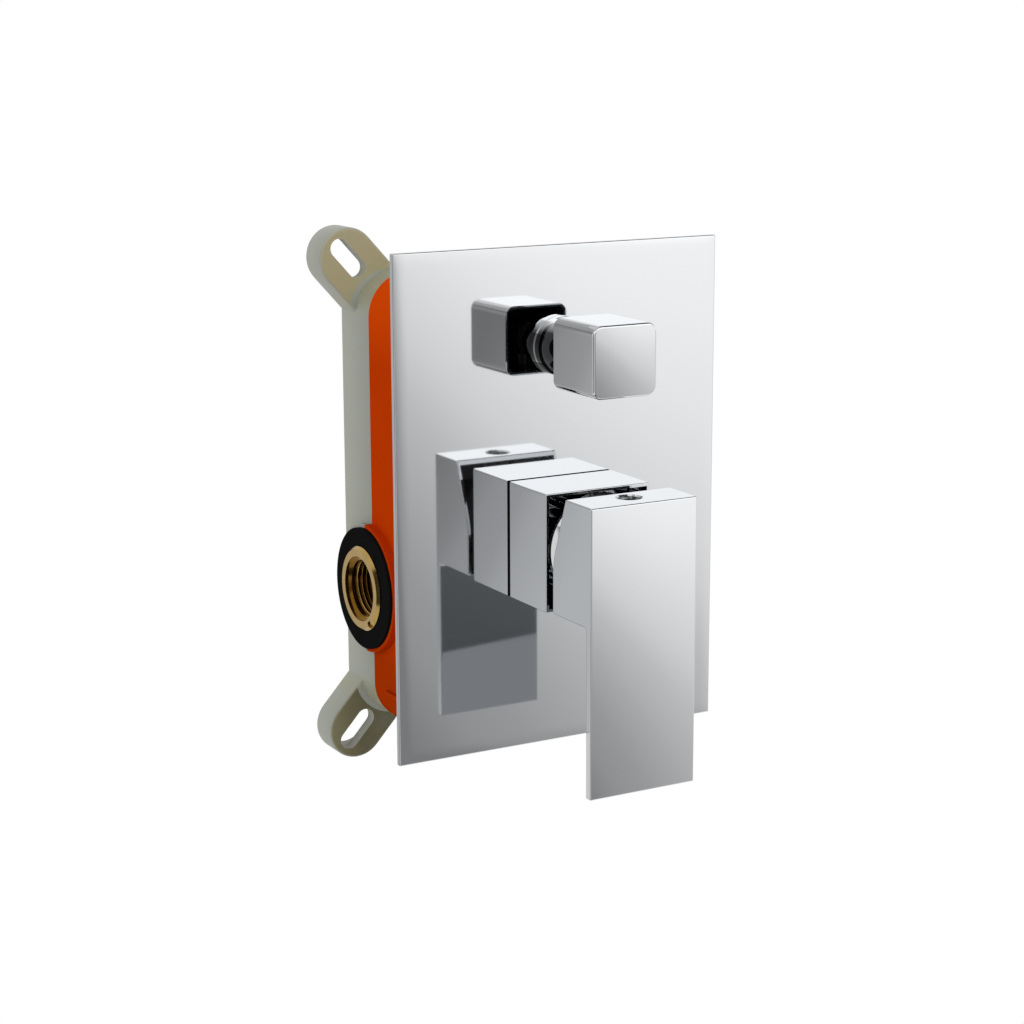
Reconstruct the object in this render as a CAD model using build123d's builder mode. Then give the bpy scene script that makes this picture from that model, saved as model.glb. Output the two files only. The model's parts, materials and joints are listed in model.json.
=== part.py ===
from build123d import *
import os
from math import atan2, cos, degrees, hypot, radians, sin, sqrt, tan

# Concealed shower mixer with a lever and a diverter knob, in millimetres.
# The wall face of the box is the plane Y = 0, the room lies towards -Y and +Z is up.
# A depth below is a distance from that face towards the room.

# Clearances
seat_gap = 0.05
free_gap = 0.3
slip_gap = 0.05
pin_gap = 0.08

# Concealed box, split at the plane of the ports
box_w = 110.0
box_h = 166.0
box_corner_r = 16.0
box_wall = 2.5
box_back = 3.0
front_depth = 37.0
front_web = 2.0
collar_t = 1.6
collar_len = 6.0
lug_proud = 1.2
lug_t = 1.6
lug_drop = 1.0
lug_set = 11.0

# Fixing ears of the box, as steps out from the centres of its corner rounds
ear_r = 11.0
ear_t = 12.0
ear_step_x = 18.5
left_ear_step_z = 20.5
right_ear_step_z = 9.0
ear_slot_len = 17.0
ear_slot_w = 7.0
ear_skin = 5.0
ear_wall = 3.0
ear_edge_r = 1.0

# Screws that close the box and screws that hold the brass body
post_r = 5.0
post_skin = 1.1
post_floor = 7.5
screw_r = 1.75
screw_head_r = 3.3
screw_head_t = 2.4
screw_drive_r = 1.6
screw_drive_len = 1.2
screw_bite = 14.0
hex_sides = 6
foot_lift = 7.0
foot_t = 5.0
foot_half_w = 6.0
foot_x = 24.0
upper_foot_drop = 50.0
lower_foot_rise = 23.0
foot_screw_bite = 6.0

# Brass bushes with G 1/2 threads at the four ports, and their rubber seals
inlet_z = -31.0
port_bore_r = 10.48
port_bore_len = 15.0
port_mouth_step = 1.4
port_mouth_len = 2.0
port_wall = 5.0
port_len = 16.0
port_water_r = 6.5
port_water_len = 24.0
port_proud = 1.5
port_chamfer = 1.0
port_notch_w = 2.4
port_notch_len = 1.0
port_notch_angle = -54.0
pipe_r = 13.0
inlet_boss = 3.0
outlet_boss = 2.2
seal_neck_t = 2.0
seal_lip_step = 2.5
seal_lip_t = 1.5
seal_flange_step = 4.75
seal_flange_t = 1.2
boss_rim = 1.3
seal_wall_gap = 0.27

# Face plate
plate_side_lap = 10.0
plate_end_lap = 7.0
plate_t = 2.0
plate_rise = 4.0
plate_edge_r = 0.4
plate_gasket_t = 1.5
plate_gasket_w = 5.0
plate_hole_gap = 0.6

# Lever axis, ceramic cartridge and the neck of the brass body
lever_z = -9.0
cartridge_r = 15.0
cartridge_wall = 2.0
cartridge_sink = 7.0
base_t = 3.0
disc_t = 3.0
disc_channel_rim = 3.2
disc_channel_w = 8.4
disc_channel_t = 1.5
slide_t = 8.5
slide_rail_x = 7.4
slide_rail_w = 3.0
slide_rail_t = 2.0
water_hole_r = 2.6
water_hole_x = 5.2
water_hole_rise = 3.4
mixed_hole_drop = 5.6
water_hole_len = 8.0
base_seal_w = 1.1
base_seal_t = 1.2
swivel_flange_t = 2.0
shoulder_t = 2.0
pivot_rise = 3.85
collar_rise = 5.0
carrier_proud = 0.4
carrier_web = 1.75
cartridge_collar_wall = 1.7
lock_thread_t = 1.7
lock_thread_len = 5.5
lock_flange_t = 2.8
lock_notch_w = 4.0
lock_notches = 6
neck_wall = 1.5
chamber_root = 20.0

# Stem, its ball and its pivot pin
tilt_angle = 25.0
stem_w = 8.0
stem_pin_r = 1.5
stem_arm_r = 1.8
stem_ball_r = 2.8
stem_chamfer = 0.65
ball_sink = 1.55
pin_end = 0.4

# Square sleeve and dome round the cartridge
sleeve_len = 25.5
sleeve_wall = 1.2
sleeve_corner_r = 0.5
sleeve_edge_r = 0.3
sleeve_web_t = 3.6
sleeve_room = 0.3
sleeve_gasket_t = 1.0
sleeve_gasket_set = 0.2
o_ring_r = 0.65
neck_step_set = 2.0
dome_skirt_t = 1.2
dome_set = 0.8
dome_rise = 6.3
dome_ring = 0.9
dome_wall = 1.2
dome_hole_r = 11.6

# Lever handle
lever_gap = 4.5
lever_block_t = 25.5
lever_top_t = 17.0
lever_blade_t = 3.2
lever_top_rise = 21.5
lever_taper_h = 23.0
lever_block_h = 41.5
lever_len = 101.5
lever_blend_r = 22.0
lever_crook_r = 1.5
lever_edge_r = 0.45
lever_pocket_r = 18.0
lever_pocket_depth = 10.0
lever_grip = 10.0
lever_screw_set = 15.5
lever_screw_r = 4.2
lever_screw_sink = 1.0
lever_screw_chamfer = 0.5
lever_hex_r = 2.1
lever_hex_len = 4.0

# Diverter: brass headwork with ceramic discs, neck and square knob
knob_drop = 24.5
diverter_r = 10.0
diverter_sink = 27.0
diverter_wall = 4.0
diverter_seal_t = 2.0
diverter_seal_w = 3.4
diverter_cavity_wall = 1.7
diverter_body_len = 18.0
diverter_flange_r = 12.5
diverter_flange_t = 3.0
diverter_tube_wall = 2.7
diverter_root = 20.0
diverter_port_r = 2.6
diverter_port_step = 4.4
spindle_r = 4.0
spindle_flange_t = 3.0
spindle_flat = 0.8
diverter_nut_t = 2.45
diverter_nut_lip = 3.0
diverter_nut_grip = 8.0
neck_r = 10.6
neck_len = 12.0
neck_flange_t = 3.2
neck_step_w = 0.7
neck_taper = 1.6
neck_swell = 0.45
neck_thread_len = 8.0
knob_w = 25.0
knob_len = 26.5
knob_stand = 17.0
knob_corner_r = 3.5
knob_edge_r = 0.8
knob_wall = 1.2
knob_front_t = 2.5
knob_hub_wall = 2.2
knob_hub_set = 3.0
knob_end_gap = 0.5
knob_screw_r = 2.0
knob_screw_set = 12.0
knob_screw_wall = 1.6
knob_screw_sink = 1.0
knob_hex_r = 1.0
knob_hex_len = 2.0

# Ports: radii from the thread outwards, and the depth that lets their seals clear the wall
port_r = port_bore_r + port_wall
port_mouth_r = port_bore_r + port_mouth_step
seal_neck_r = port_r + seal_neck_t
seal_lip_r = seal_neck_r + seal_lip_step
seal_flange_r = seal_neck_r + seal_flange_step
boss_r = seal_flange_r + boss_rim
rear_depth = seal_flange_r + seal_wall_gap

# Face plate, from its laps over the box
plate_w = box_w + 2 * plate_side_lap
plate_h = box_h + 2 * plate_end_lap

# Depths along the assembly
box_front = rear_depth + front_depth
plate_back = box_front + plate_gasket_t
plate_front = plate_back + plate_t
sleeve_back = plate_front + sleeve_gasket_t
sleeve_front = sleeve_back + sleeve_len
lever_back = sleeve_front + lever_gap
lever_front = lever_back + lever_block_t
cartridge_seat = plate_front - cartridge_sink
fixed_disc_back = cartridge_seat + base_t
fixed_disc_front = fixed_disc_back + disc_t
moving_disc_back = fixed_disc_front + slip_gap
moving_disc_front = moving_disc_back + disc_t
slide_front = moving_disc_front + slide_t
ball_depth = slide_front - ball_sink
carrier_back = slide_front + free_gap
carrier_shoulder = carrier_back + swivel_flange_t
shoulder_back = carrier_shoulder + free_gap
shoulder_front = shoulder_back + shoulder_t
pivot_depth = shoulder_front + pivot_rise
collar_front = pivot_depth + collar_rise
carrier_front = collar_front + carrier_proud
neck_front = shoulder_front + lock_thread_len
neck_step = sleeve_back + neck_step_set
dome_rim = sleeve_front - dome_set
diverter_seat = plate_back - diverter_sink
diverter_disc_back = diverter_seat + diverter_seal_t
diverter_disc_front = diverter_disc_back + disc_t
diverter_moving_back = diverter_disc_front + slip_gap
diverter_moving_front = diverter_moving_back + disc_t
spindle_shoulder = diverter_moving_front + spindle_flange_t
diverter_shoulder = diverter_disc_back + diverter_body_len
diverter_flange_front = diverter_shoulder + diverter_flange_t
diverter_tube_front = plate_front + neck_thread_len
knob_back = plate_front + knob_stand
knob_front = knob_back + knob_len
knob_floor = knob_front - knob_front_t
spindle_front = knob_floor - knob_end_gap
foot_back = box_back + foot_lift
foot_front = foot_back + foot_t

# Radii that follow from what fits in what
tilt = radians(tilt_angle)
ball_arm = pivot_depth - ball_depth
disc_travel = ball_arm * sin(tilt)
disc_offset = disc_travel / 2
cavity_r = cartridge_r - cartridge_wall
moving_disc_r = cavity_r - free_gap - disc_offset
swivel_flange_r = cavity_r - free_gap
stem_swing = (carrier_front - pivot_depth) * tan(tilt)
carrier_slot_h = stem_swing + stem_w / 2 / cos(tilt) + free_gap
carrier_slot_w = stem_w + 2 * free_gap
carrier_r = carrier_slot_h + carrier_web
collar_bore_r = carrier_r + free_gap
collar_r = collar_bore_r + cartridge_collar_wall
lock_r = cartridge_r + lock_thread_t
neck_front_r = lock_r + neck_wall
dome_r = neck_front_r + seat_gap + dome_skirt_t
chamber_r = dome_r
plate_hole_r = chamber_r + plate_hole_gap
sleeve_w = 2 * (dome_r + sleeve_room + sleeve_wall)
lever_w = sleeve_w
diverter_chamber_r = diverter_r + diverter_wall
diverter_cavity_r = diverter_r - diverter_cavity_wall
diverter_disc_r = diverter_cavity_r - free_gap
spindle_bore_r = spindle_r + free_gap
diverter_tube_r = spindle_bore_r + diverter_tube_wall
diverter_hole_r = diverter_tube_r + plate_hole_gap
diverter_nut_r = diverter_chamber_r + diverter_nut_t
knob_hub_r = spindle_r + knob_hub_wall

# Heights of the knob and the lever
knob_z = box_h / 2 - knob_drop
lever_top = lever_z + lever_top_rise
lever_bend_z = lever_top - lever_taper_h
lever_block_z = lever_top - lever_block_h
lever_bottom = lever_top - lever_len

# Places in the front view
lever_axis = (0, lever_z)
knob_axis = (0, knob_z)
corner_x = box_w / 2 - box_corner_r
corner_z = box_h / 2 - box_corner_r
post_step = (box_corner_r - post_r - post_skin) / sqrt(2)
post_x = corner_x + post_step
post_z = corner_z + post_step
post_spots = [(sx * post_x, sz * post_z) for sx in (-1, 1) for sz in (-1, 1)]
upper_foot_z = box_h / 2 - upper_foot_drop
lower_foot_z = lower_foot_rise - box_h / 2
foot_spots = [(sx * foot_x, z) for sx in (-1, 1) for z in (upper_foot_z, lower_foot_z)]
ear_steps = {-1: left_ear_step_z, 1: right_ear_step_z}
water_holes = [
    (-water_hole_x, lever_z + water_hole_rise),
    (water_hole_x, lever_z + water_hole_rise),
    (0, lever_z - mixed_hole_drop),
]

# Each port lies on the box wall with its normal outwards; its boss stands on that wall
left_wall = Plane((-box_w / 2, -rear_depth, inlet_z), (0, -1, 0), (-1, 0, 0))
right_wall = Plane((box_w / 2, -rear_depth, inlet_z), (0, 1, 0), (1, 0, 0))
top_wall = Plane((0, -rear_depth, box_h / 2), (1, 0, 0), (0, 0, 1))
bottom_wall = Plane((0, -rear_depth, -box_h / 2), (1, 0, 0), (0, 0, -1))
ports = {
    "left_inlet": (left_wall, inlet_boss, box_w / 2),
    "right_inlet": (right_wall, inlet_boss, box_w / 2),
    "top_outlet": (top_wall, outlet_boss, box_h / 2),
    "bottom_outlet": (bottom_wall, outlet_boss, box_h / 2),
}
middle = [(0, 0)]


def front(depth):
    # The view from the room: X to the right, Z up, depth towards the viewer
    return Plane.XZ.offset(depth)


def barrel(plane, spots, start, end, radius, mode=Mode.ADD):
    # Round lengths at one or more spots of a plane, between two heights above it
    with BuildSketch(plane.offset(start)) as ends:
        with Locations(*spots):
            Circle(radius)
    extrude(ends.sketch, amount=end - start, mode=mode)


def bush_span(boss):
    # Heights of the inner and outer ends of a port bush above the wall
    bush_end = boss + seal_flange_t + port_proud
    return bush_end - port_bore_len, bush_end


def hex_drive(plane, spots, radius, depth):
    # Six-sided sockets sunk from a plane
    with BuildSketch(plane) as drives:
        with Locations(*spots):
            RegularPolygon(radius, hex_sides)
    extrude(drives.sketch, amount=-depth, mode=Mode.SUBTRACT)


def ear_slots(length, width, to_centre):
    # One rounded slot for each ear, either from the corner of the box or about the ear's own middle
    for sx, step_z in ear_steps.items():
        for sz in (-1, 1):
            lean = degrees(atan2(sz * step_z, sx * ear_step_x))
            share = 0.5 if to_centre else 1
            spot = (sx * (corner_x + share * ear_step_x), sz * (corner_z + share * step_z))
            with Locations(spot):
                SlotOverall(length + (hypot(ear_step_x, step_z) if to_centre else 0), width, rotation=lean)


os.makedirs("parts", exist_ok=True)

# Rear box: the half that is fixed to the wall, with four slotted ears
with BuildPart() as rear_box:
    with BuildSketch(front(0)):
        ear_slots(2 * ear_r, 2 * ear_r, True)
    extrude(amount=ear_t)
    fillet(rear_box.faces().group_by(Axis.Y)[0].edges(), ear_edge_r)
    with BuildSketch(front(0)):
        ear_slots(2 * (ear_r - ear_wall), 2 * (ear_r - ear_wall), True)
    extrude(amount=ear_t - ear_skin, mode=Mode.SUBTRACT)
    with BuildSketch(front(0)):
        RectangleRounded(box_w, box_h, box_corner_r)
    extrude(amount=rear_depth)
    for plane, boss, reach in ports.values():
        barrel(plane, middle, -box_wall, boss, boss_r)
    split(bisect_by=front(0), keep=Keep.TOP)
    split(bisect_by=front(rear_depth), keep=Keep.BOTTOM)
    with BuildSketch(front(box_back)):
        RectangleRounded(box_w - 2 * box_wall, box_h - 2 * box_wall, box_corner_r - box_wall)
    extrude(amount=rear_depth - box_back, mode=Mode.SUBTRACT)
    barrel(Plane.XZ, post_spots, box_back, rear_depth, post_r)
    barrel(Plane.XZ, foot_spots, box_back, foot_back, post_r)
    for plane, boss, reach in ports.values():
        lip_back = -box_wall - seal_lip_t - seat_gap
        barrel(plane, middle, lip_back, boss, seal_neck_r + seat_gap, Mode.SUBTRACT)
        barrel(plane, middle, lip_back, -box_wall, seal_lip_r + seat_gap, Mode.SUBTRACT)
    barrel(Plane.XZ, post_spots, rear_depth - screw_bite, rear_depth, screw_r + seat_gap, Mode.SUBTRACT)
    barrel(Plane.XZ, foot_spots, foot_back - foot_screw_bite, foot_back, screw_r + seat_gap, Mode.SUBTRACT)
    with BuildSketch(front(0)):
        ear_slots(ear_slot_len, ear_slot_w, False)
    extrude(amount=ear_t, mode=Mode.SUBTRACT)
rear_box.part.label = "rear_box"
export_step(rear_box.part, "parts/rear_box.step")

# Front housing: the coloured half, with a front wall that the two spouts of the body pass
diverter_opening_r = diverter_nut_r / cos(radians(180 / hex_sides)) + collar_t
lever_opening_r = chamber_r + 2 * collar_t
lug_len = box_wall + lug_proud
lug_z = -corner_z - lug_drop
with BuildPart() as front_housing:
    with BuildSketch(front(rear_depth)):
        RectangleRounded(box_w, box_h, box_corner_r)
    extrude(amount=front_depth)
    for plane, boss, reach in ports.values():
        barrel(plane, middle, -box_wall, boss, boss_r)
    split(bisect_by=front(rear_depth), keep=Keep.TOP)
    with BuildSketch(front(rear_depth)):
        RectangleRounded(box_w - 2 * box_wall, box_h - 2 * box_wall, box_corner_r - box_wall)
    extrude(amount=front_depth - front_web, mode=Mode.SUBTRACT)
    barrel(Plane.XZ, post_spots, rear_depth, box_front, post_r)
    with BuildSketch(front(rear_depth + lug_set)):
        with Locations(*[(sx * (box_w / 2 + lug_proud - lug_len / 2), lug_z) for sx in (-1, 1)]):
            Rectangle(lug_len, lug_t)
    extrude(amount=front_depth - lug_set)
    barrel(Plane.XZ, [lever_axis], box_front - collar_len, box_front, lever_opening_r + collar_t)
    barrel(Plane.XZ, [knob_axis], box_front - collar_len, box_front, diverter_opening_r + collar_t)
    barrel(Plane.XZ, [lever_axis], rear_depth, box_front, lever_opening_r, Mode.SUBTRACT)
    barrel(Plane.XZ, [knob_axis], rear_depth, box_front, diverter_opening_r, Mode.SUBTRACT)
    for plane, boss, reach in ports.values():
        lip_back = -box_wall - seal_lip_t - seat_gap
        barrel(plane, middle, lip_back, boss, seal_neck_r + seat_gap, Mode.SUBTRACT)
        barrel(plane, middle, lip_back, -box_wall, seal_lip_r + seat_gap, Mode.SUBTRACT)
    barrel(Plane.XZ, post_spots, rear_depth, box_front, screw_r + seat_gap, Mode.SUBTRACT)
    barrel(Plane.XZ, post_spots, rear_depth + post_floor, box_front, screw_head_r + free_gap, Mode.SUBTRACT)
front_housing.part.label = "front_housing"
export_step(front_housing.part, "parts/front_housing.step")

# Four screws that close the two halves of the box
housing_seat = rear_depth + post_floor
with BuildPart() as housing_screws:
    barrel(Plane.XZ, post_spots, rear_depth - screw_bite, housing_seat, screw_r)
    barrel(Plane.XZ, post_spots, housing_seat, housing_seat + screw_head_t, screw_head_r)
    hex_drive(front(housing_seat + screw_head_t), post_spots, screw_drive_r, screw_drive_len)
housing_screws.part.label = "housing_screws"
export_step(housing_screws.part, "parts/housing_screws.step")

# Brass body: a cross of pipes with the cartridge neck and the diverter chamber
with BuildPart() as valve_body:
    for plane, boss, reach in ports.values():
        bush_seat, bush_end = bush_span(boss)
        barrel(plane, middle, -reach, bush_seat, pipe_r)
        barrel(plane, middle, -port_len, bush_seat, port_r)
    barrel(Plane.XZ, [lever_axis], chamber_root, neck_step, chamber_r)
    barrel(Plane.XZ, [lever_axis], neck_step, neck_front, neck_front_r)
    barrel(Plane.XZ, [knob_axis], diverter_root, diverter_shoulder, diverter_chamber_r)
    with BuildSketch(front(foot_back)):
        for foot_z in (upper_foot_z, lower_foot_z):
            with Locations((0, foot_z)):
                SlotCenterToCenter(2 * foot_x, 2 * foot_half_w)
    extrude(amount=foot_t)
    for plane, boss, reach in ports.values():
        bush_seat, bush_end = bush_span(boss)
        barrel(plane, middle, bush_seat - port_water_len, bush_seat, port_water_r, Mode.SUBTRACT)
    barrel(Plane.XZ, [lever_axis], cartridge_seat, neck_front, cartridge_r + seat_gap, Mode.SUBTRACT)
    barrel(Plane.XZ, [lever_axis], shoulder_front, neck_front, lock_r + seat_gap, Mode.SUBTRACT)
    water_root = cartridge_seat - water_hole_len
    barrel(Plane.XZ, water_holes, water_root, cartridge_seat, water_hole_r, Mode.SUBTRACT)
    barrel(Plane.XZ, [knob_axis], diverter_seat, diverter_shoulder, diverter_r + seat_gap, Mode.SUBTRACT)
    barrel(Plane.XZ, foot_spots, foot_back, foot_front, screw_r + free_gap, Mode.SUBTRACT)
valve_body.part.label = "valve_body"
export_step(valve_body.part, "parts/valve_body.step")

# Four screws that hold the feet of the brass body to the box
with BuildPart() as body_screws:
    barrel(Plane.XZ, foot_spots, foot_back - foot_screw_bite, foot_front, screw_r)
    barrel(Plane.XZ, foot_spots, foot_front, foot_front + screw_head_t, screw_head_r)
    hex_drive(front(foot_front + screw_head_t), foot_spots, screw_drive_r, screw_drive_len)
body_screws.part.label = "body_screws"
export_step(body_screws.part, "parts/body_screws.step")

# Threaded brass bushes on the ends of the pipes, with a notch for a spanner
for port_name, (plane, boss, reach) in ports.items():
    bush_seat, bush_end = bush_span(boss)
    with BuildPart() as port_bush:
        barrel(plane, middle, bush_seat, bush_end, port_r)
        chamfer(port_bush.edges().sort_by(Axis(plane.origin, plane.z_dir))[-1], port_chamfer)
        barrel(plane, middle, bush_seat, bush_end, port_bore_r, Mode.SUBTRACT)
        barrel(plane, middle, bush_end - port_mouth_len, bush_end, port_mouth_r, Mode.SUBTRACT)
        with BuildSketch(plane.offset(bush_end)) as notch:
            with PolarLocations(port_r, 1, start_angle=port_notch_angle):
                Rectangle(port_wall, port_notch_w)
        extrude(notch.sketch, amount=-port_notch_len, mode=Mode.SUBTRACT)
    port_bush.part.label = f"{port_name}_bush"
    export_step(port_bush.part, f"parts/{port_name}_bush.step")

# Rubber seals that clip into the walls round the ports
for port_name, (plane, boss, reach) in ports.items():
    with BuildPart() as port_seal:
        barrel(plane, middle, -box_wall - seal_lip_t, -box_wall, seal_lip_r)
        barrel(plane, middle, -box_wall, boss, seal_neck_r)
        barrel(plane, middle, boss, boss + seal_flange_t, seal_flange_r)
        barrel(plane, middle, -box_wall - seal_lip_t, boss + seal_flange_t, port_r + seat_gap, Mode.SUBTRACT)
    port_seal.part.label = f"{port_name}_seal"
    export_step(port_seal.part, f"parts/{port_name}_seal.step")

# Cartridge base with its three water holes and the seals under them
seal_seat = cartridge_seat + base_seal_t
with BuildPart() as cartridge_base:
    barrel(Plane.XZ, [lever_axis], cartridge_seat, fixed_disc_back, cavity_r - seat_gap)
    barrel(Plane.XZ, water_holes, cartridge_seat, fixed_disc_back, water_hole_r, Mode.SUBTRACT)
    barrel(Plane.XZ, water_holes, cartridge_seat, seal_seat, water_hole_r + base_seal_w, Mode.SUBTRACT)
cartridge_base.part.label = "cartridge_base"
export_step(cartridge_base.part, "parts/cartridge_base.step")

with BuildPart() as base_seals:
    barrel(Plane.XZ, water_holes, cartridge_seat, seal_seat, water_hole_r + base_seal_w - seat_gap)
    barrel(Plane.XZ, water_holes, cartridge_seat, seal_seat, water_hole_r, Mode.SUBTRACT)
base_seals.part.label = "base_seals"
export_step(base_seals.part, "parts/base_seals.step")

# Ceramic discs: one is fixed, the other slides and turns on it
with BuildPart() as fixed_disc:
    barrel(Plane.XZ, [lever_axis], fixed_disc_back, fixed_disc_front, cavity_r - seat_gap)
    barrel(Plane.XZ, water_holes, fixed_disc_back, fixed_disc_front, water_hole_r, Mode.SUBTRACT)
fixed_disc.part.label = "fixed_disc"
export_step(fixed_disc.part, "parts/fixed_disc.step")

slide_axis = (0, lever_z + disc_offset)
with BuildPart() as moving_disc:
    barrel(Plane.XZ, [slide_axis], moving_disc_back, moving_disc_front, moving_disc_r)
    with BuildSketch(front(moving_disc_back)):
        with Locations(slide_axis):
            SlotOverall(2 * (moving_disc_r - disc_channel_rim), disc_channel_w)
    extrude(amount=disc_channel_t, mode=Mode.SUBTRACT)
moving_disc.part.label = "moving_disc"
export_step(moving_disc.part, "parts/moving_disc.step")

# Slide on the moving disc, with a socket for the ball of the stem and grooves for the rails
rail_spots = [(-slide_rail_x, lever_z), (slide_rail_x, lever_z)]
with BuildPart() as disc_slide:
    barrel(Plane.XZ, [slide_axis], moving_disc_front, slide_front, moving_disc_r)
    socket_back = ball_depth - stem_ball_r - free_gap
    barrel(Plane.XZ, [lever_axis], socket_back, slide_front, stem_ball_r + free_gap, Mode.SUBTRACT)
    with BuildSketch(front(slide_front)):
        with Locations(*rail_spots):
            Rectangle(slide_rail_w + 2 * free_gap, 2 * (moving_disc_r + disc_travel))
    extrude(amount=-slide_rail_t - free_gap, mode=Mode.SUBTRACT)
disc_slide.part.label = "disc_slide"
export_step(disc_slide.part, "parts/disc_slide.step")

# Cartridge housing: a stepped cup over the discs
with BuildPart() as cartridge_housing:
    barrel(Plane.XZ, [lever_axis], cartridge_seat, shoulder_front, cartridge_r)
    barrel(Plane.XZ, [lever_axis], shoulder_front, collar_front, collar_r)
    barrel(Plane.XZ, [lever_axis], cartridge_seat, shoulder_back, cavity_r, Mode.SUBTRACT)
    barrel(Plane.XZ, [lever_axis], shoulder_back, collar_front, collar_bore_r, Mode.SUBTRACT)
cartridge_housing.part.label = "cartridge_housing"
export_step(cartridge_housing.part, "parts/cartridge_housing.step")

# Swivel carrier of the stem, with its flange, rails, slot and pin holes
rail_h = 2 * sqrt(swivel_flange_r**2 - (slide_rail_x + slide_rail_w / 2) ** 2) - 2 * free_gap
with BuildPart() as stem_carrier:
    barrel(Plane.XZ, [lever_axis], carrier_back, carrier_shoulder, swivel_flange_r)
    barrel(Plane.XZ, [lever_axis], carrier_shoulder, carrier_front, carrier_r)
    with BuildSketch(front(carrier_back)):
        with Locations(*rail_spots):
            Rectangle(slide_rail_w, rail_h)
    extrude(amount=-slide_rail_t)
    with BuildSketch(front(carrier_back)):
        with Locations(lever_axis):
            Rectangle(carrier_slot_w, 2 * carrier_slot_h)
    extrude(amount=carrier_front - carrier_back, mode=Mode.SUBTRACT)
    barrel(Plane.YZ, [(-pivot_depth, lever_z)], -carrier_r, carrier_r, stem_pin_r + seat_gap, Mode.SUBTRACT)
stem_carrier.part.label = "stem_carrier"
export_step(stem_carrier.part, "parts/stem_carrier.step")

with BuildPart() as pivot_pin:
    pin_half = carrier_r - pin_end
    barrel(Plane.YZ, [(-pivot_depth, lever_z)], -pin_half, pin_half, stem_pin_r)
pivot_pin.part.label = "pivot_pin"
export_step(pivot_pin.part, "parts/pivot_pin.step")

# Stem: a ball, an arm, a barrel on the pin and a square shaft for the handle
stem_front = lever_back + lever_pocket_depth + lever_grip
with BuildPart() as mixing_stem:
    barrel(Plane.XZ, [lever_axis], ball_depth, pivot_depth, stem_arm_r)
    with Locations((0, -ball_depth, lever_z)):
        Sphere(stem_ball_r)
    barrel(Plane.YZ, [(-pivot_depth, lever_z)], -stem_w / 2, stem_w / 2, stem_w / 2)
    with BuildSketch(front(pivot_depth)):
        with Locations(lever_axis):
            Rectangle(stem_w, stem_w)
    extrude(amount=stem_front - pivot_depth)
    chamfer(mixing_stem.faces().sort_by(Axis.Y)[0].edges(), stem_chamfer)
    barrel(Plane.YZ, [(-pivot_depth, lever_z)], -stem_w, stem_w, stem_pin_r + pin_gap, Mode.SUBTRACT)
mixing_stem.part.label = "mixing_stem"
export_step(mixing_stem.part, "parts/mixing_stem.step")

# Lock nut that holds the cartridge down, with spanner notches in its flange
lock_front = neck_front + lock_flange_t
with BuildPart() as cartridge_lock_nut:
    barrel(Plane.XZ, [lever_axis], shoulder_front, neck_front, lock_r)
    barrel(Plane.XZ, [lever_axis], neck_front, lock_front, neck_front_r)
    barrel(Plane.XZ, [lever_axis], shoulder_front, lock_front, collar_r + seat_gap, Mode.SUBTRACT)
    with BuildSketch(front(lock_front)):
        with Locations(lever_axis):
            with PolarLocations(neck_front_r, lock_notches):
                Rectangle(2 * neck_wall, lock_notch_w)
    extrude(amount=-lock_flange_t, mode=Mode.SUBTRACT)
cartridge_lock_nut.part.label = "cartridge_lock_nut"
export_step(cartridge_lock_nut.part, "parts/cartridge_lock_nut.step")

# Dome cap over the nut, turned: a skirt on the neck, a flat rim and a shallow round end
skirt_back = sleeve_back + sleeve_web_t + free_gap
skirt_bore_r = neck_front_r + seat_gap
dome_edge_r = dome_r - dome_ring
dome_sphere_r = (dome_edge_r**2 + dome_rise**2) / (2 * dome_rise)
dome_centre = dome_rim + dome_rise - dome_sphere_r
dome_core_r = dome_sphere_r - dome_wall
dome_mid_r = (dome_edge_r + dome_hole_r) / 2


def dome_point(sphere_r, radius):
    # A point of the half section on a sphere about the middle of the dome
    return (-dome_centre - sqrt(sphere_r**2 - radius**2), lever_z + radius)


with BuildPart() as dome_cap:
    with BuildSketch(Plane.YZ):
        with BuildLine():
            Polyline(
                dome_point(dome_core_r, skirt_bore_r),
                (-skirt_back, lever_z + skirt_bore_r),
                (-skirt_back, lever_z + dome_r),
                (-dome_rim, lever_z + dome_r),
                dome_point(dome_sphere_r, dome_edge_r),
            )
            ThreePointArc(
                dome_point(dome_sphere_r, dome_edge_r),
                dome_point(dome_sphere_r, dome_mid_r),
                dome_point(dome_sphere_r, dome_hole_r),
            )
            Line(dome_point(dome_sphere_r, dome_hole_r), dome_point(dome_core_r, dome_hole_r))
            ThreePointArc(
                dome_point(dome_core_r, dome_hole_r),
                dome_point(dome_core_r, dome_mid_r),
                dome_point(dome_core_r, skirt_bore_r),
            )
        make_face()
    revolve(axis=Axis((0, 0, lever_z), (0, 1, 0)))
dome_cap.part.label = "dome_cap"
export_step(dome_cap.part, "parts/dome_cap.step")

# Square sleeve, its gasket on the plate and the ring that steadies it on the neck
with BuildPart() as handle_sleeve:
    with BuildSketch(front(sleeve_back)):
        with Locations(lever_axis):
            RectangleRounded(sleeve_w, sleeve_w, sleeve_corner_r)
    extrude(amount=sleeve_len)
    with BuildSketch(front(sleeve_back + sleeve_web_t)):
        with Locations(lever_axis):
            Rectangle(sleeve_w - 2 * sleeve_wall, sleeve_w - 2 * sleeve_wall)
    extrude(amount=sleeve_len, mode=Mode.SUBTRACT)
    barrel(Plane.XZ, [lever_axis], sleeve_back, sleeve_front, chamber_r + sleeve_room / 2, Mode.SUBTRACT)
    fillet(handle_sleeve.faces().sort_by(Axis.Y)[0].outer_wire().edges(), sleeve_edge_r)
handle_sleeve.part.label = "handle_sleeve"
export_step(handle_sleeve.part, "parts/handle_sleeve.step")

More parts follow.
